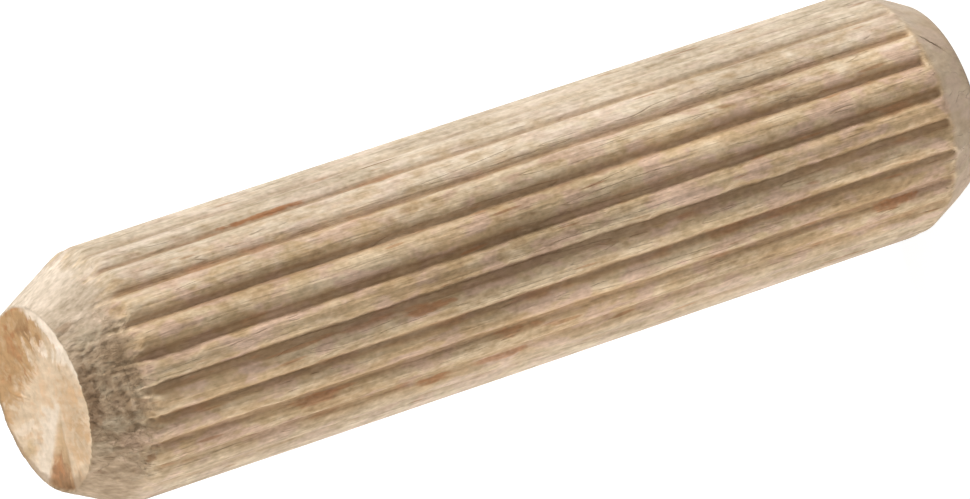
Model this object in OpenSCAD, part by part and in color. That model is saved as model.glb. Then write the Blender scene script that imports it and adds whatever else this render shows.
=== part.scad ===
// Fluted wooden dowel pin: one straight-grained round pin, with glue flutes pressed along its
// side and a chamfer on each end. It stands on its lower end face, with +Z along its axis
// and +X through the middle of a flute. The flutes end bluntly at the lower chamfer and run
// out into the longer upper one.

/* [Pin] */
// Length over both end faces
pin_length = 40; // [30:0.5:80]
// Diameter over the crests between the flutes
crest_diameter = 9.8; // [9:0.1:12]

/* [Chamfers] */
// Diameter of the upper end face
upper_face_diameter = 7.2; // [5:0.1:8.4]
// Length of the upper chamfer along the axis
upper_chamfer_length = 2.6; // [1:0.1:5]
// Diameter of the lower end face
lower_face_diameter = 7.8; // [5:0.1:8.4]
// Length of the lower chamfer along the axis
lower_chamfer_length = 1.8; // [1:0.1:5]
// Radius that rounds the shoulder between each chamfer and the side
shoulder_radius = 0.7; // [0.2:0.1:2]

/* [Flutes] */
// Number of flutes around the side
flute_count = 24; // [12:1:26]
// Depth of a flute's floor below the crests
flute_depth = 0.26; // [0.16:0.01:0.36]
// Width of a flute's flat floor
flute_width = 0.22; // [0.1:0.02:0.4]
// Width of the land left along the top of each rounded crest
land_width = 0.5; // [0.3:0.02:0.6]
// Distance from the lower end face to the blunt ends of the flutes
flute_start = 1.7; // [1:0.1:6]

/* [Hidden] */
$fn = 96;

crest_radius = crest_diameter / 2;
upper_face_radius = upper_face_diameter / 2;
lower_face_radius = lower_face_diameter / 2;
upper_chamfer_turn = atan((crest_radius - upper_face_radius) / upper_chamfer_length);
lower_chamfer_turn = atan((crest_radius - lower_face_radius) / lower_chamfer_length);
// Straight steps that make up the round of a shoulder
shoulder_steps = 5;
floor_radius = crest_radius - flute_depth;
// Turn from the middle of a flute to the middle of a crest, and from there to a land's edge
half_pitch = 180 / flute_count;
half_land = asin(land_width / 2 / crest_radius);
// One arc about crest_x rounds a whole crest: seen from the crest's middle, it runs from the
// land's edge to the corner of the floor
land_x = crest_radius * cos(half_land);
corner_x = floor_radius * cos(half_pitch) + flute_width / 2 * sin(half_pitch);
crest_x = (pow(crest_radius, 2) - pow(floor_radius, 2) - pow(flute_width / 2, 2))
    / (2 * (land_x - corner_x));
crest_round = norm([land_x - crest_x, land_width / 2]);
// How far a cutter runs past the surface that it cuts
overrun = 1;

// Height between a chamfer's corner with the side and the start of its round
function shoulder_reach(turn) = shoulder_radius * tan(turn / 2);

// Points of a shoulder's round about its centre height, from one angle to the other
function shoulder(centre_z, from, to) = [
    for (i = [0 : shoulder_steps])
        let (angle = from + (to - from) * i / shoulder_steps)
        [
            crest_radius - shoulder_radius * (1 - cos(angle)),
            centre_z + shoulder_radius * sin(angle)
        ]
];

// The pin before fluting: half its outline, turned about the axis
module blank() {
    lower_z = lower_chamfer_length + shoulder_reach(lower_chamfer_turn);
    upper_z = pin_length - upper_chamfer_length - shoulder_reach(upper_chamfer_turn);
    rotate_extrude() polygon(concat(
        [[0, 0], [lower_face_radius, 0]],
        shoulder(lower_z, -lower_chamfer_turn, 0),
        shoulder(upper_z, 0, upper_chamfer_turn),
        [[upper_face_radius, pin_length], [0, pin_length]]
    ));
}

// Section of one flute, its middle on +X: a flat floor between the round sides of two crests
module flute_section() {
    reach = crest_radius * sin(half_pitch - half_land / 2);
    difference() {
        translate([floor_radius, -reach]) square([flute_depth + overrun, 2 * reach]);
        for (side = [-1, 1]) rotate(side * half_pitch) translate([crest_x, 0]) circle(crest_round);
    }
}

module flutes() {
    for (i = [0 : flute_count - 1]) {
        rotate(i * 360 / flute_count) translate([0, 0, flute_start])
            linear_extrude(pin_length) flute_section();
    }
}

module dowel_pin() {
    color("burlywood") difference() {
        blank();
        flutes();
    }
}

dowel_pin();
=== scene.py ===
"""Finish of a fluted wooden dowel pin, laid out as an add-on and run as a script.

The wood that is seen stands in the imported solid's place and has its length. One operator
builds it from a Geometry Nodes tree and a procedural beech material, and the other sets the
floor, the lamps and the camera.
"""

import math

import bpy
from mathutils import Matrix, Vector


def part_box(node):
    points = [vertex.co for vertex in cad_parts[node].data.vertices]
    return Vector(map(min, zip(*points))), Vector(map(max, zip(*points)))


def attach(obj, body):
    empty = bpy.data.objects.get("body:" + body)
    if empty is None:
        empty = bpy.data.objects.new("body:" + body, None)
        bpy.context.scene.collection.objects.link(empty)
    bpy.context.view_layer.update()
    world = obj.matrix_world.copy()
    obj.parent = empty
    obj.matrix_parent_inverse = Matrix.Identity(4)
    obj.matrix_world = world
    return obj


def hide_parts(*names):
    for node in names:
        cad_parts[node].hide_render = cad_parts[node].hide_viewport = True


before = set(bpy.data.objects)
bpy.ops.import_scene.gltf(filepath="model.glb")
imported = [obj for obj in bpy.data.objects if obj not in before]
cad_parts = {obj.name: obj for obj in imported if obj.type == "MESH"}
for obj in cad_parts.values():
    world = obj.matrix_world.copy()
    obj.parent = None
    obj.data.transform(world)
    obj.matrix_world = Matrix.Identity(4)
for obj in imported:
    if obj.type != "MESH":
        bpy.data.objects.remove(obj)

bl_info = {
    "name": "Fluted dowel pin",
    "version": (1, 0, 0),
    "blender": (4, 5, 0),
    "location": "3D View > Sidebar > Dowel",
    "description": "Builds a fluted beech dowel pin with crushed chamfers and torn end grain",
    "category": "Object",
}

NODE = "dowel_pin"
BODY = "root"
MM = 0.001
CAD_LOW, CAD_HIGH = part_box(NODE)
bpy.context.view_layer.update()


# ---------------------------------------------------------------------------------------
# Formulas in node trees
# ---------------------------------------------------------------------------------------


class Value:
    """A number in a node tree, so that a formula can be written as one."""

    def __init__(self, tree, socket):
        self.tree = tree
        self.socket = socket

    def __add__(self, other):
        return maths(self.tree, "ADD", self, other)

    def __radd__(self, other):
        return maths(self.tree, "ADD", other, self)

    def __sub__(self, other):
        return maths(self.tree, "SUBTRACT", self, other)

    def __rsub__(self, other):
        return maths(self.tree, "SUBTRACT", other, self)

    def __mul__(self, other):
        return maths(self.tree, "MULTIPLY", self, other)

    def __truediv__(self, other):
        return maths(self.tree, "DIVIDE", self, other)

    def __rtruediv__(self, other):
        return maths(self.tree, "DIVIDE", other, self)

    def __pow__(self, other):
        return maths(self.tree, "POWER", self, other)

    def floor(self):
        return maths(self.tree, "FLOOR", self)

    def abs(self):
        return maths(self.tree, "ABSOLUTE", self)

    def sign(self):
        return maths(self.tree, "SIGN", self)

    def sin(self):
        return maths(self.tree, "SINE", self)

    def cos(self):
        return maths(self.tree, "COSINE", self)

    def root(self):
        return maths(self.tree, "SQRT", self)

    def least(self, other):
        return maths(self.tree, "MINIMUM", self, other)

    def most(self, other):
        return maths(self.tree, "MAXIMUM", self, other)

    def blend_least(self, other, round_off):
        return maths(self.tree, "SMOOTH_MIN", self, other, round_off)

    def blend_most(self, other, round_off):
        return maths(self.tree, "SMOOTH_MAX", self, other, round_off)


def feed(tree, socket, value):
    """Set an input socket to a plain number or colour, or link it to what a tree makes."""
    if isinstance(value, Value):
        tree.links.new(value.socket, socket)
    elif isinstance(value, bpy.types.NodeSocket):
        tree.links.new(value, socket)
    else:
        socket.default_value = value


def maths(tree, operation, *values):
    """What a Math node makes of its inputs."""
    node = tree.nodes.new("ShaderNodeMath")
    node.operation = operation
    for socket, value in zip(node.inputs, values):
        feed(tree, socket, value)
    return Value(tree, node.outputs[0])


def ramp(value, low, high, start=0.0, end=1.0, smooth=True):
    """Goes from start to end while value goes from low to high."""
    tree = value.tree
    node = tree.nodes.new("ShaderNodeMapRange")
    node.interpolation_type = "SMOOTHSTEP" if smooth else "LINEAR"
    for name, item in (("From Min", low), ("From Max", high), ("To Min", start), ("To Max", end)):
        feed(tree, node.inputs[name], item)
    feed(tree, node.inputs["Value"], value)
    return Value(tree, node.outputs["Result"])


def polyline(value, points):
    """A value that runs straight from point to point; points are (input, output) pairs."""
    total = points[0][1]
    for (x0, y0), (x1, y1) in zip(points, points[1:]):
        rise = maths(value.tree, "SUBTRACT", y1, y0)
        total = ramp(value, x0, x1, smooth=False) * rise + total
    return total


def bell(value, centre, half_width):
    """One at the centre, falling smoothly to nothing at half_width on either side."""
    return ramp((value - centre).abs(), 0.0, half_width, 1.0, 0.0)


def toward(x, y, turn):
    """How far a place lies out towards a turn from +X."""
    return x * math.cos(turn) + y * math.sin(turn)


def aside(x, y, turn):
    """How far a place lies to the left of the line that runs out towards a turn from +X."""
    return y * math.cos(turn) - x * math.sin(turn)


def vector(tree, x, y, z):
    node = tree.nodes.new("ShaderNodeCombineXYZ")
    for socket, value in zip(node.inputs, (x, y, z)):
        feed(tree, socket, value)
    return node.outputs[0]


def parts_of(tree, socket):
    node = tree.nodes.new("ShaderNodeSeparateXYZ")
    feed(tree, node.inputs[0], socket)
    return [Value(tree, output) for output in node.outputs]


def noise(tree, x, y, z, detail=2.0, roughness=0.5, distortion=0.0):
    """Noise from -1 to 1, mostly within half of that, at a place given in noise cells."""
    node = tree.nodes.new("ShaderNodeTexNoise")
    feed(tree, node.inputs["Vector"], vector(tree, x, y, z))
    node.inputs["Scale"].default_value = 1.0
    node.inputs["Detail"].default_value = detail
    node.inputs["Roughness"].default_value = roughness
    node.inputs["Distortion"].default_value = distortion
    return Value(tree, node.outputs[0]) * 2.0 - 1.0


def grain(tree, place, across, along, seed=0.0, **pattern):
    """Noise drawn out along the grain, by its cells per millimetre across and along it."""
    x, y, z = place
    return noise(tree, x * across + seed, y * across, z * along, **pattern)


def clumps(tree, place, scale, seed=0.0, **pattern):
    """Noise in round clumps, by its cells per millimetre."""
    return grain(tree, place, scale, scale, seed, **pattern)


def flakes(tree, x, y, z):
    """Random values from -1 to 1, each held over one small flake about one cell wide."""
    node = tree.nodes.new("ShaderNodeTexVoronoi")
    feed(tree, node.inputs["Vector"], vector(tree, x, y, z))
    node.inputs["Scale"].default_value = 1.0
    return parts_of(tree, node.outputs["Color"])[0] * 2.0 - 1.0


def mixed(tree, share, first, second):
    """The first colour at share 0 and the second at share 1."""
    node = tree.nodes.new("ShaderNodeMix")
    node.data_type = "RGBA"
    feed(tree, node.inputs[0], share)
    feed(tree, node.inputs[6], first)
    feed(tree, node.inputs[7], second)
    return node.outputs[2]


# Powers of a shade that red, green and blue are multiplied by: darker wood is also warmer
SHADE_POWERS = (0.95, 1.05, 1.25)


def shaded(tree, colour, factor):
    """A colour made brighter or darker by a factor; where it is darker it is also warmer."""
    node = tree.nodes.new("ShaderNodeVectorMath")
    node.operation = "MULTIPLY"
    feed(tree, node.inputs[0], colour)
    feed(tree, node.inputs[1], vector(tree, *(factor ** power for power in SHADE_POWERS)))
    return node.outputs[0]


# ---------------------------------------------------------------------------------------
# Settings
# ---------------------------------------------------------------------------------------


def number_setting(name, description, default, **kind):
    """A setting that is one number; kind gives its unit or subtype, if it has one."""
    return bpy.props.FloatProperty(name=name, description=description, default=default, **kind)


def length_setting(name, description, default):
    return number_setting(name, description, default, unit="LENGTH")


def share_setting(name, description, default):
    return number_setting(name, description, default, subtype="FACTOR")


def angle_setting(name, description, default):
    return number_setting(name, description, default, subtype="ANGLE")


def place_setting(name, description, default):
    return bpy.props.FloatVectorProperty(
        name=name, description=description, default=default, subtype="TRANSLATION"
    )


def colour_setting(name, description, default):
    return bpy.props.FloatVectorProperty(
        name=name, description=description, default=default, subtype="COLOR"
    )


class PinSettings(bpy.types.PropertyGroup):
    """Sizes of the wood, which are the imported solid's."""

    length: length_setting("Length", "Length over both end faces", CAD_HIGH[2] - CAD_LOW[2])
    crest_radius: length_setting("Crest radius", "Radius over the crests", 4.9 * MM)
    upper_face_radius: length_setting(
        "Upper face radius", "Radius of the upper end face", 3.6 * MM
    )
    upper_chamfer: length_setting("Upper chamfer", "Length of the upper chamfer", 2.6 * MM)
    lower_face_radius: length_setting(
        "Lower face radius", "Radius of the lower end face", 3.9 * MM
    )
    lower_chamfer: length_setting("Lower chamfer", "Length of the lower chamfer", 1.8 * MM)
    flute_count: bpy.props.IntProperty(
        name="Flutes", description="Number of flutes around the side", default=24, min=3,
    )
    flute_depth: length_setting("Flute depth", "Depth of a flute below the crests", 0.26 * MM)
    flute_width: length_setting("Flute width", "Width of a flute's floor", 0.22 * MM)
    land_width: length_setting(
        "Land width", "Width of the land along the top of a rounded crest", 0.5 * MM
    )
    flute_start: length_setting("Flute start", "Height of the flutes' blunt ends", 1.7 * MM)


class WearSettings(bpy.types.PropertyGroup):
    """How far the pressed and crushed wood departs from its plain sizes."""

    flute_wander: length_setting("Flute wander", "How far a flute strays sideways", 0.11 * MM)
    crest_edges: length_setting(
        "Crest edges", "How far a crest's sides bulge and sink", 0.085 * MM
    )
    depth_change: share_setting("Depth change", "Share by which the flutes' depth changes", 0.2)
    crest_wear: share_setting("Crest wear", "Share by which the lands are worn round", 0.85)
    spacing: angle_setting("Spacing", "How unevenly the flutes are spaced", math.radians(2.0))
    swelling: length_setting("Swelling", "How far damp has swollen the crests", 0.035 * MM)
    end_scatter: length_setting(
        "End scatter", "How far the flutes' blunt ends differ in height", 0.5 * MM
    )
    crushing: length_setting("Crushing", "Roughness of the crushed upper chamfer", 0.12 * MM)
    tearing: length_setting("Tearing", "Roughness of the torn upper face", 0.10 * MM)
    chamfer_offset: place_setting(
        "Chamfer offset", "How far the upper chamfer is off the pin's axis",
        (0.08 * MM, -0.14 * MM, 0.0),
    )


class WoodColours(bpy.types.PropertyGroup):
    """Colours of the beech."""

    pale: colour_setting("Pale wood", "Lightest bands of the side", (0.74, 0.562, 0.362))
    tan: colour_setting("Tan wood", "Darker bands of the side", (0.61, 0.41, 0.225))
    rosy: colour_setting("Rosy wood", "Pinkish patches", (0.69, 0.472, 0.332))
    ochre: colour_setting("Ochre wood", "Yellowish patches", (0.62, 0.438, 0.24))
    # Painted highlight: a paler, greyer colour laid on the sides of the pin that face the key and
    # fill lamps
    bleached: colour_setting("Bleached wood", "The paler side of the pin", (0.69, 0.583, 0.447))
    # Also laid on the flute floors as painted shade
    pressed: colour_setting("Pressed wood", "Floors of the flutes", (0.27, 0.15, 0.068))
    stain: colour_setting("Stain", "Reddish brown stains and flecks", (0.42, 0.18, 0.07))
    crushed: colour_setting(
        "Crushed wood", "Bruised fibres of the upper chamfer", (0.325, 0.216, 0.122)
    )
    umber: colour_setting("Umber", "Darkest bruises", (0.27, 0.168, 0.092))
    ashen: colour_setting(
        "Ashen wood", "Greyish bruises of the upper chamfer", (0.46, 0.365, 0.245)
    )
    # On the upper chamfer it is laid towards the key lamp's side: partly smoother wood, partly
    # painted highlight
    scraped: colour_setting(
        "Scraped wood", "The smooth, pale side of the upper chamfer", (0.65, 0.53, 0.40)
    )
    dull: colour_setting(
        "Dull wood", "The smooth, darker side of the upper chamfer", (0.465, 0.332, 0.21)
    )
    cream: colour_setting("Cream", "Palest torn fibres of the upper face", (0.93, 0.78, 0.615))
    blond: colour_setting("Blond", "Even torn wood of the upper face", (0.82, 0.626, 0.43))
    honey: colour_setting("Honey", "Tan torn wood of the end faces", (0.72, 0.49, 0.295))
    russet: colour_setting(
        "Russet", "Warm, deeply torn wood of the end faces", (0.56, 0.34, 0.165)
    )


class StageSettings(bpy.types.PropertyGroup):
    """Camera, lamps and floor."""

    aim: place_setting("Aim", "Point that the camera looks at", (0.0, -0.085 * MM, 20.286 * MM))
    distance: length_setting("Distance", "Camera's distance from that point", 393.43 * MM)
    azimuth: angle_setting(
        "Azimuth", "Camera's direction round the pin, from +X", math.radians(-2.5)
    )
    elevation: angle_setting(
        "Elevation", "Camera's height above the horizon", math.radians(27.849)
    )
    roll: angle_setting("Roll", "Turn of the camera about its view", math.radians(-108.486))
    lens: number_setting("Lens", "Focal length on a 36 mm sensor, in millimetres", 384.2)
    key: number_setting("Key lamp", "Strength of the lamp on the pin's brighter side", 2.8)
    fill: number_setting("Fill lamp", "Strength of the lamp on the other side", 2.3)
    front: number_setting("Front lamp", "Strength of the weak lamp near the camera", 0.8)


# ---------------------------------------------------------------------------------------
# The wood's shape
# ---------------------------------------------------------------------------------------

SIZE_INPUTS = (
    "Length", "Crest radius", "Upper face radius", "Upper chamfer", "Lower face radius",
    "Lower chamfer", "Flute depth", "Flute width", "Land width", "Flute start",
    "Flute wander", "Crest edges", "Depth change", "Crest wear", "Swelling", "End scatter",
    "Crushing", "Tearing", "Spacing",
)
COLUMNS_PER_CREST = 20
# Where a crest's land ends and a flute's floor begins, as shares of half of those columns
LAND_SHARE = 0.2
FLOOR_SHARE = 0.8
# Rings of the mesh in each stretch of the outline, from the middle of the lower face up
LOWER_FACE_RINGS = 5
LOWER_CHAMFER_RINGS = 13
BLUNT_END_RINGS = 5
FLUTE_END_RINGS = 5
SIDE_RINGS = 87
UPPER_CHAMFER_RINGS = 52
UPPER_FACE_RINGS = 38
# How far above the flutes' start, and below the top, the rings lie close together
LOWER_RINGS_REACH = 0.8 * MM
UPPER_RINGS_REACH = 3.6 * MM
MERGE_DISTANCE = 0.0002 * MM
# Depth of the flutes as a share of the flute depth, where nothing eases them
FULL_PRESSING = 1.12
# Two sides on which the flutes are pressed less deeply: the turn from +X, the reach in the
# measure of closeness(), and the share of the depth that is lost there
SHALLOW_TURN = math.radians(71)
SHALLOW_REACH = 0.64
SHALLOW_LOSS = 0.74
BROAD_TURN = math.radians(-85)
BROAD_REACH = 0.95
BROAD_LOSS = 0.7
# How much of that loss applies at the foot of the pin and at its top
LOSS_AT_FOOT = 1.2
LOSS_AT_TOP = 0.95
# Rounding of a crest's edges and of a flute's corners, and what the broad side adds to it
ROUND_OFF = 0.03 * MM
BROAD_ROUND_OFF = 0.05 * MM
# The uneven spacing is a wave round the pin: its count, its phase, and a level that is taken
# off it and so turns all the flutes together
SPACING_WAVES = 3.0
SPACING_PHASE = math.radians(-36)
SPACING_LEVEL = 0.28
# Blunt ends of the flutes: how far they slope below and above the flutes' start, how far they
# are raised, and how far from the start that shift reaches
BLUNT_BELOW = 0.16 * MM
BLUNT_ABOVE = 0.18 * MM
BLUNT_RISE = 0.15 * MM
BLUNT_REACH = 1.3 * MM
# Rounding of the shoulders between the side and the two chamfers
LOWER_SHOULDER = 0.3 * MM
UPPER_SHOULDER = 0.14 * MM
# Turn from +X of the side on which the upper chamfer is crushed the most
BRUISE_TURN = math.radians(-16)
# How far below the top the crushing begins, and where it is full
CRUSHED_FROM = 2.9 * MM
CRUSHED_FULL = 2.2 * MM
# Where the torn fibres of an end face fan out from, in millimetres
FAN_X = 1.2
FAN_Y = -0.7
# The torn wedge in the upper face lies between two lines. Left one: a place on it in
# millimetres and the direction square to it. Right one: a place and its lean, x for y
WEDGE_LEFT = (-1.6, -3.0)
WEDGE_LEFT_ACROSS = (0.608, -0.794)
WEDGE_RIGHT = (0.95, -1.2)
WEDGE_RIGHT_LEAN = 0.3
# Direction from the axis to the raised, pale stretch of the upper face's rim
RIM_X = 0.79
RIM_Y = 0.61
# How far the edge of the upper face is rolled down
ROLLED_EDGE = 0.04 * MM


def fan(x, y):
    """Streaks and finer slivers of torn fibres that fan out over an end face; millimetres."""
    tree = x.tree
    over = x - FAN_X
    up = y - FAN_Y
    reach = (over * over + up * up).root().most(0.05)
    over = over / reach
    up = up / reach
    away = ramp(reach, 0.7, 2.6)
    streaks = noise(
        tree, over * 3.2, up * 3.2, reach * 0.6, detail=3.0, roughness=0.6, distortion=0.9
    )
    slivers = noise(tree, over * 8.0, up * 8.0, reach * 1.3, detail=2.0, distortion=0.7)
    return streaks * away, slivers * away


def past_wedge_left(x, y):
    """How far a place lies to the right of the torn wedge's left line, in millimetres."""
    over = (x - WEDGE_LEFT[0]) * WEDGE_LEFT_ACROSS[0]
    return over + (y - WEDGE_LEFT[1]) * WEDGE_LEFT_ACROSS[1]


def torn_wedge(x, y, ragged):
    """One in the deep torn wedge at the edge of the upper face; x and y in millimetres."""
    left = past_wedge_left(x, y)
    right = WEDGE_RIGHT[0] + (y - WEDGE_RIGHT[1]) * WEDGE_RIGHT_LEAN - x
    return ramp(left + ragged, -0.1, 0.2) * ramp(right + ragged, -0.2, 0.3)


def closeness(turn, middle, reach):
    """One at the middle turn, falling straight to nothing where the distance is reach.

    The distance is the root of one minus the cosine of the turn between the two.
    """
    away = (1.0 - (turn - middle).cos()).root()
    return ramp(away, 0.0, reach, 1.0, 0.0, smooth=False)


def arc_height(radius, offset):
    """How high an arc lies above its centre, at an offset sideways from its top."""
    return (radius * radius - offset * offset).most(0.0).root()


def fluted_tree():
    """The tree that turns a flat grid into the pin: round, chamfered, fluted and worn."""
    tree = bpy.data.node_groups.new("Fluted pin", "GeometryNodeTree")
    tree.interface.new_socket("Geometry", in_out="OUTPUT", socket_type="NodeSocketGeometry")
    for name in SIZE_INPUTS:
        tree.interface.new_socket(name, in_out="INPUT", socket_type="NodeSocketFloat")
    tree.interface.new_socket("Flutes", in_out="INPUT", socket_type="NodeSocketInt")
    tree.interface.new_socket("Chamfer offset", in_out="INPUT", socket_type="NodeSocketVector")
    tree.interface.new_socket("Material", in_out="INPUT", socket_type="NodeSocketMaterial")
    given = tree.nodes.new("NodeGroupInput")
    size = {name: Value(tree, given.outputs[name]) for name in SIZE_INPUTS}
    flutes = Value(tree, given.outputs["Flutes"])
    turn_per_flute = (2 * math.pi) / flutes

    # A flat grid: columns go round the pin and rings follow its outline
    stretches = (
        LOWER_FACE_RINGS, LOWER_CHAMFER_RINGS, BLUNT_END_RINGS, FLUTE_END_RINGS, SIDE_RINGS,
        UPPER_CHAMFER_RINGS, UPPER_FACE_RINGS,
    )
    stations = [sum(stretches[:i]) for i in range(len(stretches) + 1)]
    grid = tree.nodes.new("GeometryNodeMeshGrid")
    grid.inputs["Size X"].default_value = 1.0
    grid.inputs["Size Y"].default_value = 1.0
    feed(tree, grid.inputs["Vertices X"], flutes * COLUMNS_PER_CREST + 1.0)
    grid.inputs["Vertices Y"].default_value = stations[-1] + 1
    flat = tree.nodes.new("GeometryNodeInputPosition")
    across, along, _ = parts_of(tree, flat.outputs[0])
    ring = (along + 0.5) * stations[-1]
    lap = (across + 0.5) * flutes

    # Height up the outline, and how far towards an end face's middle
    length = size["Length"]
    crest = size["Crest radius"]
    start = size["Flute start"]
    heights = (
        0.0, 0.0, start - BLUNT_BELOW, start + BLUNT_ABOVE, start + LOWER_RINGS_REACH,
        length - UPPER_RINGS_REACH, length, length,
    )
    height = polyline(ring, list(zip(stations, heights)))
    face_reach = ramp(ring, stations[0], stations[1], smooth=False) * ramp(
        ring, stations[-2], stations[-1], 1.0, 0.0, smooth=False
    )

    # Where a point lies between two flutes: 0 on the crest's middle, 1 on a flute's
    crest_number = lap.floor()
    between = (lap - crest_number) * 2.0 - 1.0
    side = between.sign()
    share = between.abs()
    crest_turn = (crest_number + 0.5) * turn_per_flute
    flute_turn = (crest_number + 0.5 + side * 0.5) * turn_per_flute
    edge_turn = (crest_number + 0.5 + side * 0.25) * turn_per_flute

    def around(turn, every, seed, spread=5.0):
        """Noise that differs from flute to flute, and along the pin every few millimetres."""
        return noise(
            tree, turn.cos() * spread + seed, turn.sin() * spread, height / (every * MM),
            detail=1.5,
        )

    # Half of a crest's section: land, round side, and half a flute's floor
    half_pitch = crest * turn_per_flute * 0.5
    half_land = size["Land width"] * 0.5
    corner = half_pitch - size["Flute width"] * 0.5
    depth = size["Flute depth"]
    sink = (corner * corner - half_land * half_land + depth * depth) / (depth * 2.0)
    crest_round = (half_land * half_land + sink * sink).root()
    offset = polyline(
        share, [(0.0, 0.0), (LAND_SHARE, half_land), (FLOOR_SHARE, corner), (1.0, half_pitch)]
    )
    plain = sink - arc_height(crest_round, offset)
    sharp = plain.blend_most(0.0, ROUND_OFF)

    # The same half worn round in one arc, with bulging edges and a sagging land
    foot = corner + size["Flute width"] * 0.3
    worn_round = (foot * foot + depth * depth) / (depth * 2.0)
    worn = worn_round - arc_height(worn_round, offset)
    bulge = around(edge_turn, 1.5, seed=11.0) + around(edge_turn, 0.7, seed=17.0) * 0.6
    flank = bell(offset, (half_land + corner) * 0.5, (corner - half_land) * 0.75)
    sag = around(crest_turn, 4.0, seed=23.0) * 0.25 * (1.0 - share)
    crown = sharp + (worn - sharp) * size["Crest wear"]
    crown = crown + (bulge * flank + sag) * size["Crest edges"]

    # How deep the dent between two crests is: flutes differ, and are shallow on two sides
    floor_depth = depth * (1.0 + around(flute_turn, 5.0, seed=3.0) * size["Depth change"])
    broad = ramp((flute_turn - BROAD_TURN).cos(), 0.0, 0.3)
    crown = crown * (broad * 0.35 + 1.0)
    dent = crown.blend_least(floor_depth * 1.05, broad * BROAD_ROUND_OFF + ROUND_OFF)
    eased = (
        closeness(flute_turn, SHALLOW_TURN, SHALLOW_REACH) * SHALLOW_LOSS
        + closeness(flute_turn, BROAD_TURN, BROAD_REACH) * BROAD_LOSS
    )
    eased = eased * ramp(height, 0.0, length, LOSS_AT_FOOT, LOSS_AT_TOP, smooth=False)
    dent = dent * (FULL_PRESSING - eased)
    dent = dent * ramp(height, start - BLUNT_BELOW, start + BLUNT_ABOVE)

    # Turn round the pin: flutes stray sideways, slowly and quickly, and are spaced unevenly
    slow = around(flute_turn, 60.0, seed=29.0, spread=6.0)
    quick = around(flute_turn, 7.0, seed=31.0, spread=6.0)
    sideways = (slow * 1.2 + quick * 0.5) * size["Flute wander"] * share * share
    turn = crest_turn + (side * offset + sideways) / crest
    wave = (turn * SPACING_WAVES - SPACING_PHASE).cos() - SPACING_LEVEL
    turn = turn - wave * size["Spacing"]

    # The chamfers; the upper one is a little off the axis
    off_x, off_y, _ = parts_of(tree, given.outputs["Chamfer offset"])
    lean = turn.cos() * off_x + turn.sin() * off_y
    lower = size["Lower face radius"]
    lower = lower + (crest - lower) * height / size["Lower chamfer"]
    upper = size["Upper face radius"]
    upper = upper + (crest - upper) * (length - height) / size["Upper chamfer"] + lean
    closing = ramp(height, length - 2.4 * MM, length - 1.3 * MM, 0.25, 1.1, smooth=False)
    upper = upper - (dent - depth * closing).blend_most(0.0, 0.02 * MM) * 0.8
    swollen = crest + size["Swelling"] * bell(height, length * 0.5, length * 0.7) - dent
    radius = swollen.blend_least(lower, LOWER_SHOULDER).blend_least(upper, UPPER_SHOULDER)

    # Crushed fibres on the upper chamfer, worst on one side: lumps, pits and crumbs
    place = (turn.cos() * crest / MM, turn.sin() * crest / MM, height / MM)
    crushed = ramp(height, length - CRUSHED_FROM, length - CRUSHED_FULL)
    worst = ramp((turn - BRUISE_TURN).cos(), 0.5, 0.85, 0.15, 1.0)
    lumps = clumps(tree, place, 1.2, detail=1.0)
    pits = clumps(tree, place, 2.4, seed=40.0, detail=1.0, distortion=0.4)
    crumbs = clumps(tree, place, 4.2, seed=70.0, detail=0.0)
    rumple = lumps * 0.5 + pits.least(0.05) * 0.9 + crumbs * 0.8
    radius = radius + rumple * size["Crushing"] * crushed * worst

    # Torn end grain: fibres in lanes that fan out, a torn wedge, and a raised, ragged rim
    fx = turn.cos() * face_reach * radius / MM
    fy = turn.sin() * face_reach * radius / MM
    streaks, slivers = fan(fx, fy)
    hollows = noise(tree, fx * 2.2, fy * 2.2, 9.0, detail=2.0)
    rim = ramp(turn.cos() * RIM_X + turn.sin() * RIM_Y, 0.55, 0.9)
    rim = rim * ramp(face_reach, 0.80, 0.92)
    on_upper_face = ramp(ring, stations[-2] - 1.0, stations[-2] + 1.0)
    torn = streaks * 1.1 + slivers * 0.35 + hollows * 0.4 - 0.35
    sunk = torn.least(0.0) * (1.0 - rim * 0.8) - torn_wedge(fx, fy, streaks * 0.2) * 0.9
    sunk = sunk * size["Tearing"] * on_upper_face
    rolled = ramp(face_reach, 0.95, 1.0) * on_upper_face * ROLLED_EDGE

    # What the material needs to know, stored while the grid is still flat
    mesh = grid.outputs["Mesh"]
    fading = ramp(
        height, length - size["Upper chamfer"], length - 1.4 * MM, 0.0, 1.1, smooth=False
    )
    for name, value in (
        ("flute", (dent / depth - fading).most(0.0)),
        ("end_face", ramp(face_reach, 0.985, 1.0, 1.0, 0.0)),
    ):
        store = tree.nodes.new("GeometryNodeStoreNamedAttribute")
        store.data_type = "FLOAT"
        store.domain = "POINT"
        store.inputs["Name"].default_value = name
        tree.links.new(mesh, store.inputs["Geometry"])
        feed(tree, store.inputs["Value"], value)
        mesh = store.outputs[0]

    # The points move to their places, then those that meet are merged: the grid's first and
    # last columns, and the middles of the two end faces
    reach = radius * face_reach
    scatter = around(flute_turn, 90.0, seed=41.0, spread=9.0) * size["End scatter"] * share
    shifted = height + (scatter + BLUNT_RISE) * bell(height, start, BLUNT_REACH)
    position = vector(tree, reach * turn.cos(), reach * turn.sin(), shifted + sunk - rolled)
    move = tree.nodes.new("GeometryNodeSetPosition")
    tree.links.new(mesh, move.inputs["Geometry"])
    feed(tree, move.inputs["Position"], position)

    merge = tree.nodes.new("GeometryNodeMergeByDistance")
    merge.inputs["Distance"].default_value = MERGE_DISTANCE
    tree.links.new(move.outputs[0], merge.inputs["Geometry"])
    paint = tree.nodes.new("GeometryNodeSetMaterial")
    tree.links.new(merge.outputs[0], paint.inputs["Geometry"])
    tree.links.new(given.outputs["Material"], paint.inputs["Material"])
    result = tree.nodes.new("NodeGroupOutput")
    tree.links.new(paint.outputs[0], result.inputs[0])
    return tree


def labelled(settings):
    """The values of a group of settings, by their labels."""
    return {
        settings.bl_rna.properties[key].name: getattr(settings, key)
        for key in settings.__annotations__
    }


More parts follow.
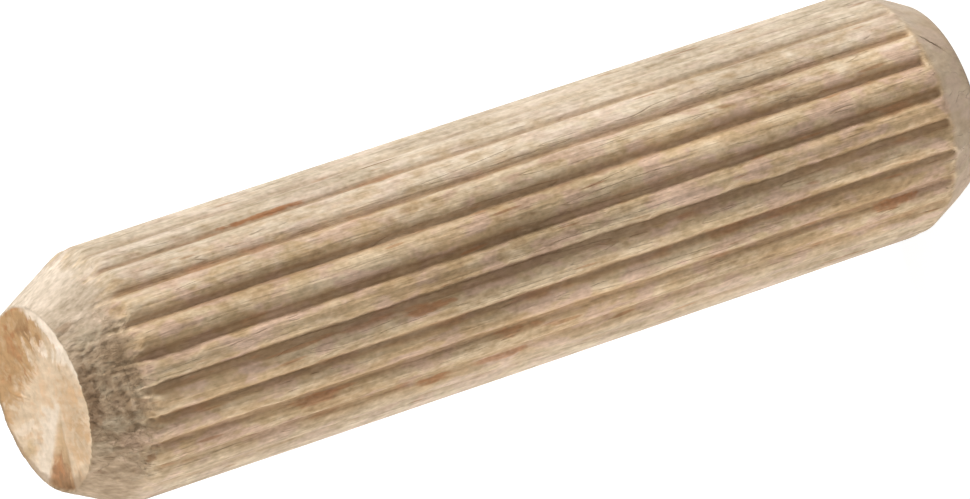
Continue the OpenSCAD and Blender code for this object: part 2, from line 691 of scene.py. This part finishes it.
def set_input(modifier, name, value):
    """Set one input of a modifier's tree by the input's name."""
    for item in modifier.node_group.interface.items_tree:
        if item.item_type == "SOCKET" and item.in_out == "INPUT" and item.name == name:
            modifier[item.identifier] = value
            return
    raise KeyError(name)


# ---------------------------------------------------------------------------------------
# The wood's finish
# ---------------------------------------------------------------------------------------


def attribute(tree, name):
    node = tree.nodes.new("ShaderNodeAttribute")
    node.attribute_name = name
    return Value(tree, node.outputs["Fac"])


# Stains, flecks and bruises of the side and the upper chamfer: turn in degrees, height,
# half-length along the grain and half-width in millimetres, strength and colour
MARKS = (
    (49.5, 30.4, 2.2, 0.10, 0.9, "stain"),
    (-20.5, 25.8, 1.3, 0.16, 0.8, "stain"),
    (-47.0, 30.8, 1.1, 0.22, 0.7, "stain"),
    (-46.0, 22.0, 1.3, 0.20, 0.6, "stain"),
    (-60.0, 25.4, 0.8, 0.18, 0.7, "stain"),
    (-60.0, 22.6, 1.4, 0.14, 0.6, "stain"),
    (-46.5, 4.6, 1.2, 0.24, 0.8, "stain"),
    (57.5, 24.8, 0.9, 0.05, 0.9, "pressed"),
    (60.5, 16.0, 1.9, 0.04, 0.7, "pressed"),
    # The next two darken a strip of the chamfer just below the upper face's edge
    (-4.0, 39.75, 0.4, 0.8, 0.7, "umber"),
    (-20.0, 39.85, 0.4, 0.9, 0.9, "umber"),
    (31.0, 39.6, 0.3, 0.18, 0.6, "umber"),
    (-3.0, 38.4, 0.5, 0.7, 0.7, "crushed"),
    (-30.0, 39.1, 0.5, 0.5, 0.6, "ashen"),
    (19.0, 39.2, 0.6, 0.5, 0.7, "ashen"),
    (-39.0, 38.65, 0.5, 0.45, 0.5, "rosy"),
    (-50.0, 37.95, 0.18, 0.2, 0.9, "pressed"),
    (-46.0, 38.2, 0.12, 0.2, 0.6, "pale"),
    (-54.5, 37.8, 0.12, 0.2, 0.6, "pale"),
    (-61.0, 39.5, 0.25, 0.12, 0.6, "umber"),
)
# Marks of the upper face: place, half-length and half-width in millimetres, turn of the long
# axis in degrees from +X, strength and colour
FACE_MARKS = (
    (0.45, 2.65, 0.7, 0.35, -10, 0.4, "pressed"),
    (0.8, 2.2, 0.5, 0.28, -50, 0.5, "pressed"),
    (1.5, 2.0, 0.3, 0.22, 100, 0.5, "pressed"),
    (-0.8, 2.1, 0.9, 0.5, 110, 0.4, "stain"),
    (-2.4, 0.5, 1.1, 0.5, 170, 0.6, "russet"),
    (0.3, 1.65, 0.6, 0.3, 105, 0.7, "blond"),
    (0.25, 1.45, 0.3, 0.16, 105, 0.5, "cream"),
    (1.1, 1.7, 0.6, 0.3, 80, 0.7, "blond"),
    (1.7, 1.5, 0.45, 0.3, 40, 0.6, "cream"),
    (2.5, 1.1, 1.1, 0.35, -15, 0.8, "cream"),
    (2.35, 0.5, 0.35, 0.14, 80, 0.6, "russet"),
    (2.3, -0.8, 1.4, 1.0, 85, 0.45, "russet"),
    (2.2, -2.0, 1.2, 0.7, 60, 0.5, "russet"),
    (1.3, -1.9, 0.9, 0.4, 85, 0.3, "russet"),
    (-2.9, -0.3, 0.8, 0.3, 170, 0.6, "russet"),
    (-2.3, -0.95, 1.2, 0.25, 5, 0.5, "cream"),
    (-2.5, -1.75, 0.9, 0.3, 15, 0.7, "ochre"),
    (-1.4, -1.55, 0.8, 0.2, 30, 0.5, "honey"),
)
# The split in the lower chamfer: turn in degrees and height in millimetres of its two ends
SPLIT = ((29.5, 1.6), (19.5, 0.55))
SPLIT_HALF_WIDTH = 0.07
# A placed mark shows only on its own side of the pin: it fades in between these two distances
# out from the axis, in millimetres
OWN_SIDE = (2.0, 3.0)


def marked(tree, wood, x, y, z, ragged, colour):
    """The wood's colour with the placed stains, flecks and bruises of the side on it."""
    for degrees, height, half_length, half_width, strength, name in MARKS:
        turn = math.radians(degrees)
        across = aside(x, y, turn) / half_width
        along = (z - height) / half_length
        near = 1.0 - across * across - along * along + ragged
        share = ramp(near, -0.3, 0.9, 0.0, strength) * ramp(toward(x, y, turn), *OWN_SIDE)
        wood = mixed(tree, share, wood, colour[name])
    return wood


def face_marked(tree, wood, x, y, share, ragged, colour):
    """The torn wood's colour with the placed marks of the upper face on it."""
    for place_x, place_y, half_length, half_width, degrees, strength, name in FACE_MARKS:
        turn = math.radians(degrees)
        over = x - place_x
        up = y - place_y
        along = toward(over, up, turn) / half_length
        across = aside(over, up, turn) / half_width
        near = 1.0 - along * along - across * across + ragged
        wood = mixed(tree, ramp(near, -0.2, 1.0, 0.0, strength) * share, wood, colour[name])
    return wood


def split(x, y, z, radius, ragged):
    """One on the line of the split in the lower chamfer; radius is the side's."""
    (turn_0, height_0), (turn_1, height_1) = SPLIT
    middle = math.radians(turn_0 + turn_1) / 2
    length = math.hypot(radius * math.radians(turn_0 - turn_1), height_0 - height_1)
    ahead = radius * math.radians(turn_0 - turn_1) / length
    rise = (height_0 - height_1) / length
    side = aside(x, y, middle)
    level = z - (height_0 + height_1) / 2
    off = side * rise - level * ahead + ragged * 0.06
    along = side * ahead + level * rise
    front = ramp(toward(x, y, middle), *OWN_SIDE)
    return bell(off, 0.0, SPLIT_HALF_WIDTH) * bell(along, 0.0, length * 0.62) * front


def end_grain(tree, x, y, z, top, colour):
    """Colour and relief of the torn end faces, with fibres in lanes that fan out."""
    upper = ramp(z, top - 1.0, top - 0.6)
    streaks, slivers = fan(x, y)
    blotches = noise(tree, x * 1.2, y * 1.2, 20.0, detail=3.0, roughness=0.6)
    specks = noise(tree, x * 3.4, y * 3.4, 27.0, detail=2.0)
    reach = (x * x + y * y).root()

    wood = mixed(tree, ramp(blotches + streaks * 0.6, -0.15, 0.4), colour["blond"], colour["honey"])

    # Warm, deeply torn wood past a ragged line, with dark and light patches
    edge = x.least(0.0) * 0.3 + x.most(0.0).least(1.2) * 0.45 + 1.1 - y
    warm = ramp(streaks * 0.9 + slivers * 0.9 + blotches * 0.7 - edge, -0.5, 0.3) * upper
    warm = warm * ramp(x + slivers * 0.5, 2.2, 1.7)
    wood = mixed(tree, warm, wood, colour["russet"])
    dark = ramp(specks + slivers * 0.8 + streaks * 0.4, 0.05, 0.5, 0.0, 0.6)
    wood = mixed(tree, dark * warm, wood, colour["stain"])
    light = ramp(specks * 0.7 + blotches + slivers * 0.8, -0.1, -0.45, 0.0, 0.6)
    wood = mixed(tree, light * warm, wood, colour["honey"])

    # A pale sheet of fibres beside the wedge, the placed marks, and the sunk wedge's wood, darkened
    # towards -Y as painted shade
    left = 0.0 - past_wedge_left(x, y)
    sheet = ramp(left + slivers * 0.3, -0.05, 0.2) * ramp(left + blotches * 1.4, 1.6, 0.6)
    sheet = sheet * ramp(y + blotches, -0.2, -0.8) * upper
    wood = mixed(tree, sheet * 0.8, wood, colour["cream"])
    ragged = slivers * 1.6 + blotches * 1.4 + specks * 1.6
    wood = face_marked(tree, wood, x, y, upper, ragged, colour)
    wedge = torn_wedge(x, y, slivers * 0.3) * upper
    # Painted shade in the sunk wedge: partly torn russet wood, partly shade, turning to stain and
    # to the darkest brown towards -Y, and tan to the right
    wedge_wood_and_shade = mixed(tree, ramp(y + streaks, -1.9, -2.7), colour["russet"], colour["stain"])
    wedge_wood_and_shade = mixed(tree, ramp(y + specks, -2.8, -3.4, 0.0, 0.6), wedge_wood_and_shade, colour["pressed"])
    shelving = ramp(x + y * 0.6 + slivers * 0.9 + specks * 0.5, -2.3, -1.2, 0.0, 0.85)
    wedge_wood_and_shade = mixed(tree, shelving, wedge_wood_and_shade, colour["tan"])
    wood = mixed(tree, wedge * 0.85, wood, wedge_wood_and_shade)

    # A pale crescent along the raised rim, and painted shade along the face's edge on the wedge's
    # side
    crescent = ramp(reach + slivers * 0.5 + specks * 0.3, 2.95, 3.2)
    crescent = crescent * ramp(x * RIM_X + y * RIM_Y + blotches * 0.4, 2.6, 3.0) * upper
    wood = mixed(tree, crescent * 0.9, wood, colour["cream"])
    rim_shade = ramp(reach + specks * 0.2, 3.2, 3.45) * ramp(x + y, -1.5, -2.5) * upper
    wood = mixed(tree, rim_shade * 0.5, wood, colour["pressed"])

    # Light and dark along the fibres, and the relief in millimetres
    lanes = noise(tree, x + y * 0.2, (y + x * 0.18) * 4.0, 33.0, detail=2.0)
    shade = streaks * 0.22 + slivers * 0.12 + lanes * 0.2 + blotches * 0.3 + specks * 0.18
    wood = shaded(tree, wood, shade + 1.02)
    return wood, streaks * 0.025 + slivers * 0.01 + lanes * 0.01 + specks * 0.014


def beech_material(colours, pin):
    """Straight-grained beech: fibres, mottling, pressed flutes, bruises and end grain."""
    material = bpy.data.materials.new("beech")
    material.use_nodes = True
    tree = material.node_tree
    shader = tree.nodes["Principled BSDF"]
    colour = {name: (*getattr(colours, name), 1.0) for name in colours.__annotations__}
    top = pin.length / MM
    side_radius = pin.crest_radius / MM

    coordinates = tree.nodes.new("ShaderNodeTexCoord")
    place = [part / MM for part in parts_of(tree, coordinates.outputs["Object"])]
    x, y, z = place
    flute = attribute(tree, "flute")
    end_face = attribute(tree, "end_face")

    # Patterns of the side, all drawn out along the grain
    fibres = grain(tree, place, 7.0, 0.8, roughness=0.6)
    strands = grain(tree, place, 3.6, 0.22, seed=5.0, roughness=0.6)
    hairs = grain(tree, place, 6.0, 3.6, detail=1.0)
    mottle = grain(tree, place, 2.2, 1.2, detail=3.0, roughness=0.6)
    bundles = flakes(tree, x * 2.2 + mottle * 0.5, y * 2.2 + fibres * 0.4, z * 0.45)
    bands = grain(tree, place, 0.8, 0.18)
    drift = grain(tree, place, 0.5, 0.16, seed=61.0, detail=1.0)
    tint = grain(tree, place, 1.1, 0.55, seed=31.0, roughness=0.6)
    tint_2 = grain(tree, place, 1.3, 0.7, seed=57.0, roughness=0.6)
    stains = grain(tree, place, 0.9, 0.35, seed=83.0, roughness=0.6)
    flecks = grain(tree, place, 3.2, 0.33, seed=11.0, detail=1.0)
    waves = grain(tree, place, 2.1, 0.13, seed=7.0, detail=1.0)

    # Colour of the side: bands and tints, sides paled as painted highlight, floors darkened as
    # painted shade over the pressed wood, stains and fine lines
    wood = mixed(tree, ramp(bands + mottle * 0.6, -0.35, 0.35), colour["tan"], colour["pale"])
    wood = mixed(tree, ramp(tint, -0.04, 0.2, 0.0, 0.95), wood, colour["rosy"])
    wood = mixed(tree, ramp(tint_2, 0.03, 0.28, 0.0, 0.58), wood, colour["ochre"])
    # Painted highlight: the wood is paler on the side that faces the key lamp and on the -Y limb
    # that faces the fill lamp
    paler = toward(x, y, SHALLOW_TURN) / side_radius
    paler = ramp(paler + mottle * 0.3, 0.55, 1.05, 0.0, 0.75)
    paler = paler.most(ramp(y / side_radius + mottle * 0.1, -0.8, -1.0, 0.0, 0.5))
    wood = mixed(tree, paler, wood, colour["bleached"])
    # Painted shade: the flute floors darken towards their bottoms, over the pressed wood's own
    # darker colour
    browned_and_shaded = ramp(flute + mottle * 0.5 + strands * 0.4, 0.3, 0.95, 0.0, 0.7)
    wood = mixed(tree, browned_and_shaded, wood, colour["pressed"])
    stained = ramp(stains + fibres * 0.3, 0.15, 0.4) * ramp(flute, 0.2, 0.7)
    wood = mixed(tree, stained * 0.4, wood, colour["stain"])
    wood = mixed(tree, ramp(flecks, 0.40, 0.50, 0.0, 0.5), wood, colour["stain"])
    lines = bell(waves, 0.0, 0.03) * ramp(mottle + bands, 0.0, 0.3)
    wood = mixed(tree, lines * 0.42, wood, colour["pressed"])
    shoulder = pin.lower_chamfer / MM
    turned = ramp(z + mottle * 0.3, shoulder + 0.1, shoulder - 0.3)
    wood = mixed(tree, turned * 0.55, wood, colour["scraped"])

    # Bruised and broken fibres of the upper chamfer, worst on one side
    crushed = ramp(z + mottle * 0.8, top - 2.55, top - 1.6)
    rags = clumps(tree, place, 1.4, detail=3.0, roughness=0.6, distortion=0.5)
    chips = clumps(tree, place, 3.8, roughness=0.6, distortion=0.4)
    folds = noise(tree, x * 1.9, y * 1.9, z * 1.9 + 50.0, distortion=1.2)
    cracks = bell(folds, 0.0, 0.07) * ramp(chips + rags, -0.3, 0.2)
    flake = flakes(tree, x * 2.6 + rags * 0.9, y * 2.6 + chips * 0.5, z * 2.6)
    bruised_side = toward(x, y, BRUISE_TURN) / side_radius
    harm = ramp(bruised_side + rags * 0.25 + mottle * 0.1, 0.45, 0.92)
    # The less crushed side of the upper chamfer grows paler towards +Y and cream at its +Y edge,
    # which faces the key lamp: partly smoother wood, partly painted highlight
    smooth = mixed(tree, ramp(y, -1.0, 4.2, smooth=False), colour["dull"], colour["scraped"])
    sine = y / (x * x + y * y).root().most(1.0)
    smooth = mixed(tree, ramp(sine, 0.88, 0.99, 0.0, 0.7), smooth, colour["cream"])
    bruise = mixed(tree, ramp(rags + tint * 0.6, -0.2, 0.3), colour["crushed"], colour["dull"])
    bruise = mixed(tree, ramp(tint_2 + flake * 0.1, 0.0, 0.3, 0.0, 0.6), bruise, colour["ashen"])
    bruise = mixed(tree, ramp(tint - flake * 0.2, 0.15, 0.4, 0.0, 0.4), bruise, colour["rosy"])
    bruise = mixed(tree, ramp(chips + flake * 0.3, 0.3, 0.65, 0.0, 0.45), bruise, colour["tan"])
    bruise = mixed(tree, ramp(chips + rags * 0.5, -0.1, -0.5, 0.0, 0.75), bruise, colour["umber"])
    bruise = mixed(tree, cracks * 0.28, bruise, colour["pressed"])
    wood = mixed(tree, crushed, wood, mixed(tree, harm, smooth, bruise))
    tips = ramp(flute, 0.02, 0.15) * ramp(flute, 0.6, 0.25) * ramp(z, top - 2.9, top - 2.4)
    wood = mixed(tree, tips * 0.5, wood, colour["pale"])
    ragged = mottle * 1.8 + fibres * 0.8 + (chips + rags) * crushed * 1.5
    wood = marked(tree, wood, x, y, z, ragged, colour)
    cracked = split(x, y, z, side_radius, fibres)
    wood = mixed(tree, cracked * 0.85, wood, colour["pressed"])

    # Light and dark along the fibres, weaker on the turned chamfer, and the end faces
    shade = fibres * 0.2 + strands * 0.36 + hairs * 0.28 + mottle * 0.36 + drift * 0.38
    shade = shade + bundles * 0.03
    wood = shaded(tree, wood, shade * (1.0 - turned * 0.6) + turned * 0.06 + 1.0)
    torn, torn_relief = end_grain(tree, x, y, z, top, colour)
    wood = mixed(tree, end_face, wood, torn)
    feed(tree, shader.inputs["Base Color"], wood)
    feed(tree, shader.inputs["Roughness"], 0.68 + fibres * 0.12 - flute * 0.08)
    shader.inputs["Specular IOR Level"].default_value = 0.3

    # Relief, in millimetres up to the bump
    relief = fibres * 0.016 + strands * 0.034 + mottle * 0.024
    relief = relief * (1.0 - turned * 0.7) - cracked * 0.1 - lines * 0.02
    rough = rags * 0.04 + chips * 0.034 - cracks * 0.02
    relief = relief + rough * crushed * harm
    relief = relief * (1.0 - end_face) + torn_relief * end_face
    bump = tree.nodes.new("ShaderNodeBump")
    bump.inputs["Strength"].default_value = 1.0
    bump.inputs["Distance"].default_value = 1.0
    feed(tree, bump.inputs["Height"], relief * MM)
    tree.links.new(bump.outputs["Normal"], shader.inputs["Normal"])
    return material


# ---------------------------------------------------------------------------------------
# Camera, lamps and floor
# ---------------------------------------------------------------------------------------

# Width of the camera's sensor, in millimetres
SENSOR_WIDTH = 36.0
# Distances in metres
CLIP_START = 0.01
CLIP_END = 10.0
FLOOR_HALF_WIDTH = 3.0
LAMP_DISTANCE = 0.3
FLOOR_GREY = 0.5
# Strength of the floor's glow for the camera, on top of the light that it gives back
FLOOR_GLOW = 0.75
# Strength of the white world as the camera sees it, and as a light
BACKDROP = 1.0
AMBIENT = 0.05
# Lamps, by the name of their strength in the settings: direction out from the pin by its turn
# from +X and its height, and the lamp's spread, all in degrees
LAMPS = (
    ("key", 79.0, 32.0, 12.0),
    ("fill", -98.0, 25.0, 12.0),
    ("front", 0.0, 30.0, 60.0),
)


def facing(azimuth, elevation):
    """Direction out from the pin, by its turn from +X and its height above the horizon."""
    flat = math.cos(elevation)
    return Vector((flat * math.cos(azimuth), flat * math.sin(azimuth), math.sin(elevation)))


def make_camera(scene, settings):
    data = bpy.data.cameras.new("camera")
    data.lens = settings.lens
    data.sensor_width = SENSOR_WIDTH
    data.clip_start = CLIP_START
    data.clip_end = CLIP_END
    camera = bpy.data.objects.new("camera", data)
    scene.collection.objects.link(camera)
    back = facing(settings.azimuth, settings.elevation)
    upright = back.to_track_quat("Z", "Y").to_matrix().to_4x4()
    place = Matrix.Translation(Vector(settings.aim) + back * settings.distance)
    camera.matrix_world = place @ upright @ Matrix.Rotation(settings.roll, 4, "Z")
    scene.camera = camera


def make_floor(scene):
    """A plain floor that looks white to the camera and keeps the pin's shadow."""
    half = FLOOR_HALF_WIDTH
    mesh = bpy.data.meshes.new("floor")
    corners = [(-half, -half, 0), (half, -half, 0), (half, half, 0), (-half, half, 0)]
    mesh.from_pydata(corners, [], [(0, 1, 2, 3)])
    floor = bpy.data.objects.new("floor", mesh)
    scene.collection.objects.link(floor)
    material = bpy.data.materials.new("pale floor")
    material.use_nodes = True
    tree = material.node_tree
    tree.nodes.clear()
    diffuse = tree.nodes.new("ShaderNodeBsdfDiffuse")
    diffuse.inputs["Color"].default_value = (FLOOR_GREY, FLOOR_GREY, FLOOR_GREY, 1.0)
    glow = tree.nodes.new("ShaderNodeEmission")
    path = tree.nodes.new("ShaderNodeLightPath")
    seen = Value(tree, path.outputs["Is Camera Ray"]).most(
        Value(tree, path.outputs["Is Glossy Ray"])
    )
    feed(tree, glow.inputs["Strength"], seen * FLOOR_GLOW)
    both = tree.nodes.new("ShaderNodeAddShader")
    tree.links.new(diffuse.outputs[0], both.inputs[0])
    tree.links.new(glow.outputs[0], both.inputs[1])
    output = tree.nodes.new("ShaderNodeOutputMaterial")
    tree.links.new(both.outputs[0], output.inputs["Surface"])
    mesh.materials.append(material)


def make_lamps(scene, settings):
    """A broad lamp low on each side of the pin, a weak one in front, and a white backdrop."""
    for name, azimuth, elevation, spread in LAMPS:
        data = bpy.data.lights.new(name, "SUN")
        data.energy = getattr(settings, name)
        data.angle = math.radians(spread)
        lamp = bpy.data.objects.new(name, data)
        scene.collection.objects.link(lamp)
        way = facing(math.radians(azimuth), math.radians(elevation))
        lamp.location = way * LAMP_DISTANCE
        lamp.rotation_euler = way.to_track_quat("Z", "Y").to_euler()
    world = bpy.data.worlds.new("studio")
    scene.world = world
    world.use_nodes = True
    tree = world.node_tree
    background = tree.nodes["Background"]
    background.inputs["Color"].default_value = (1.0, 1.0, 1.0, 1.0)
    path = tree.nodes.new("ShaderNodeLightPath")
    seen = Value(tree, path.outputs["Is Camera Ray"])
    feed(tree, background.inputs["Strength"], seen * (BACKDROP - AMBIENT) + AMBIENT)


# ---------------------------------------------------------------------------------------
# Operators
# ---------------------------------------------------------------------------------------


class DOWEL_OT_pin(bpy.types.Operator):
    """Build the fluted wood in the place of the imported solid"""

    bl_idname = "dowel.pin"
    bl_label = "Fluted pin"

    def execute(self, context):
        pin = context.scene.dowel_pin
        wear = context.scene.dowel_wear
        values = labelled(pin) | labelled(wear)
        values["Chamfer offset"] = tuple(wear.chamfer_offset)
        values["Material"] = beech_material(context.scene.dowel_colours, pin)
        carrier = bpy.data.objects.new("carrier", bpy.data.meshes.new("carrier"))
        context.scene.collection.objects.link(carrier)
        modifier = carrier.modifiers.new("Fluted pin", "NODES")
        modifier.node_group = fluted_tree()
        for name, value in values.items():
            set_input(modifier, name, value)
        graph = context.evaluated_depsgraph_get()
        mesh = bpy.data.meshes.new_from_object(carrier.evaluated_get(graph), depsgraph=graph)
        bpy.data.objects.remove(carrier)
        if not mesh.polygons:
            raise RuntimeError("The fluted pin came out without faces")
        mesh.name = "fluted_beech"
        mesh.shade_smooth()
        wood = bpy.data.objects.new("fluted_beech", mesh)
        context.scene.collection.objects.link(wood)
        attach(wood, BODY)
        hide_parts(NODE)
        return {"FINISHED"}


class DOWEL_OT_stage(bpy.types.Operator):
    """Set the floor, the lamps and the camera"""

    bl_idname = "dowel.stage"
    bl_label = "Floor, lamps and camera"

    def execute(self, context):
        settings = context.scene.dowel_stage
        make_camera(context.scene, settings)
        make_floor(context.scene)
        make_lamps(context.scene, settings)
        context.scene.view_settings.view_transform = "Standard"
        return {"FINISHED"}


class DOWEL_PT_panel(bpy.types.Panel):
    """The pin's two operators in the sidebar"""

    bl_idname = "DOWEL_PT_panel"
    bl_label = "Dowel pin"
    bl_space_type = "VIEW_3D"
    bl_region_type = "UI"
    bl_category = "Dowel"

    def draw(self, context):
        layout = self.layout
        layout.operator("dowel.pin")
        layout.operator("dowel.stage")


CLASSES = (
    PinSettings, WearSettings, WoodColours, StageSettings, DOWEL_OT_pin, DOWEL_OT_stage,
    DOWEL_PT_panel,
)


def register():
    for item in CLASSES:
        bpy.utils.register_class(item)
    bpy.types.Scene.dowel_pin = bpy.props.PointerProperty(type=PinSettings)
    bpy.types.Scene.dowel_wear = bpy.props.PointerProperty(type=WearSettings)
    bpy.types.Scene.dowel_colours = bpy.props.PointerProperty(type=WoodColours)
    bpy.types.Scene.dowel_stage = bpy.props.PointerProperty(type=StageSettings)


def unregister():
    del bpy.types.Scene.dowel_stage
    del bpy.types.Scene.dowel_colours
    del bpy.types.Scene.dowel_wear
    del bpy.types.Scene.dowel_pin
    for item in reversed(CLASSES):
        bpy.utils.unregister_class(item)


def main():
    register()
    bpy.ops.dowel.pin()
    bpy.ops.dowel.stage()


if __name__ == "__main__":
    main()
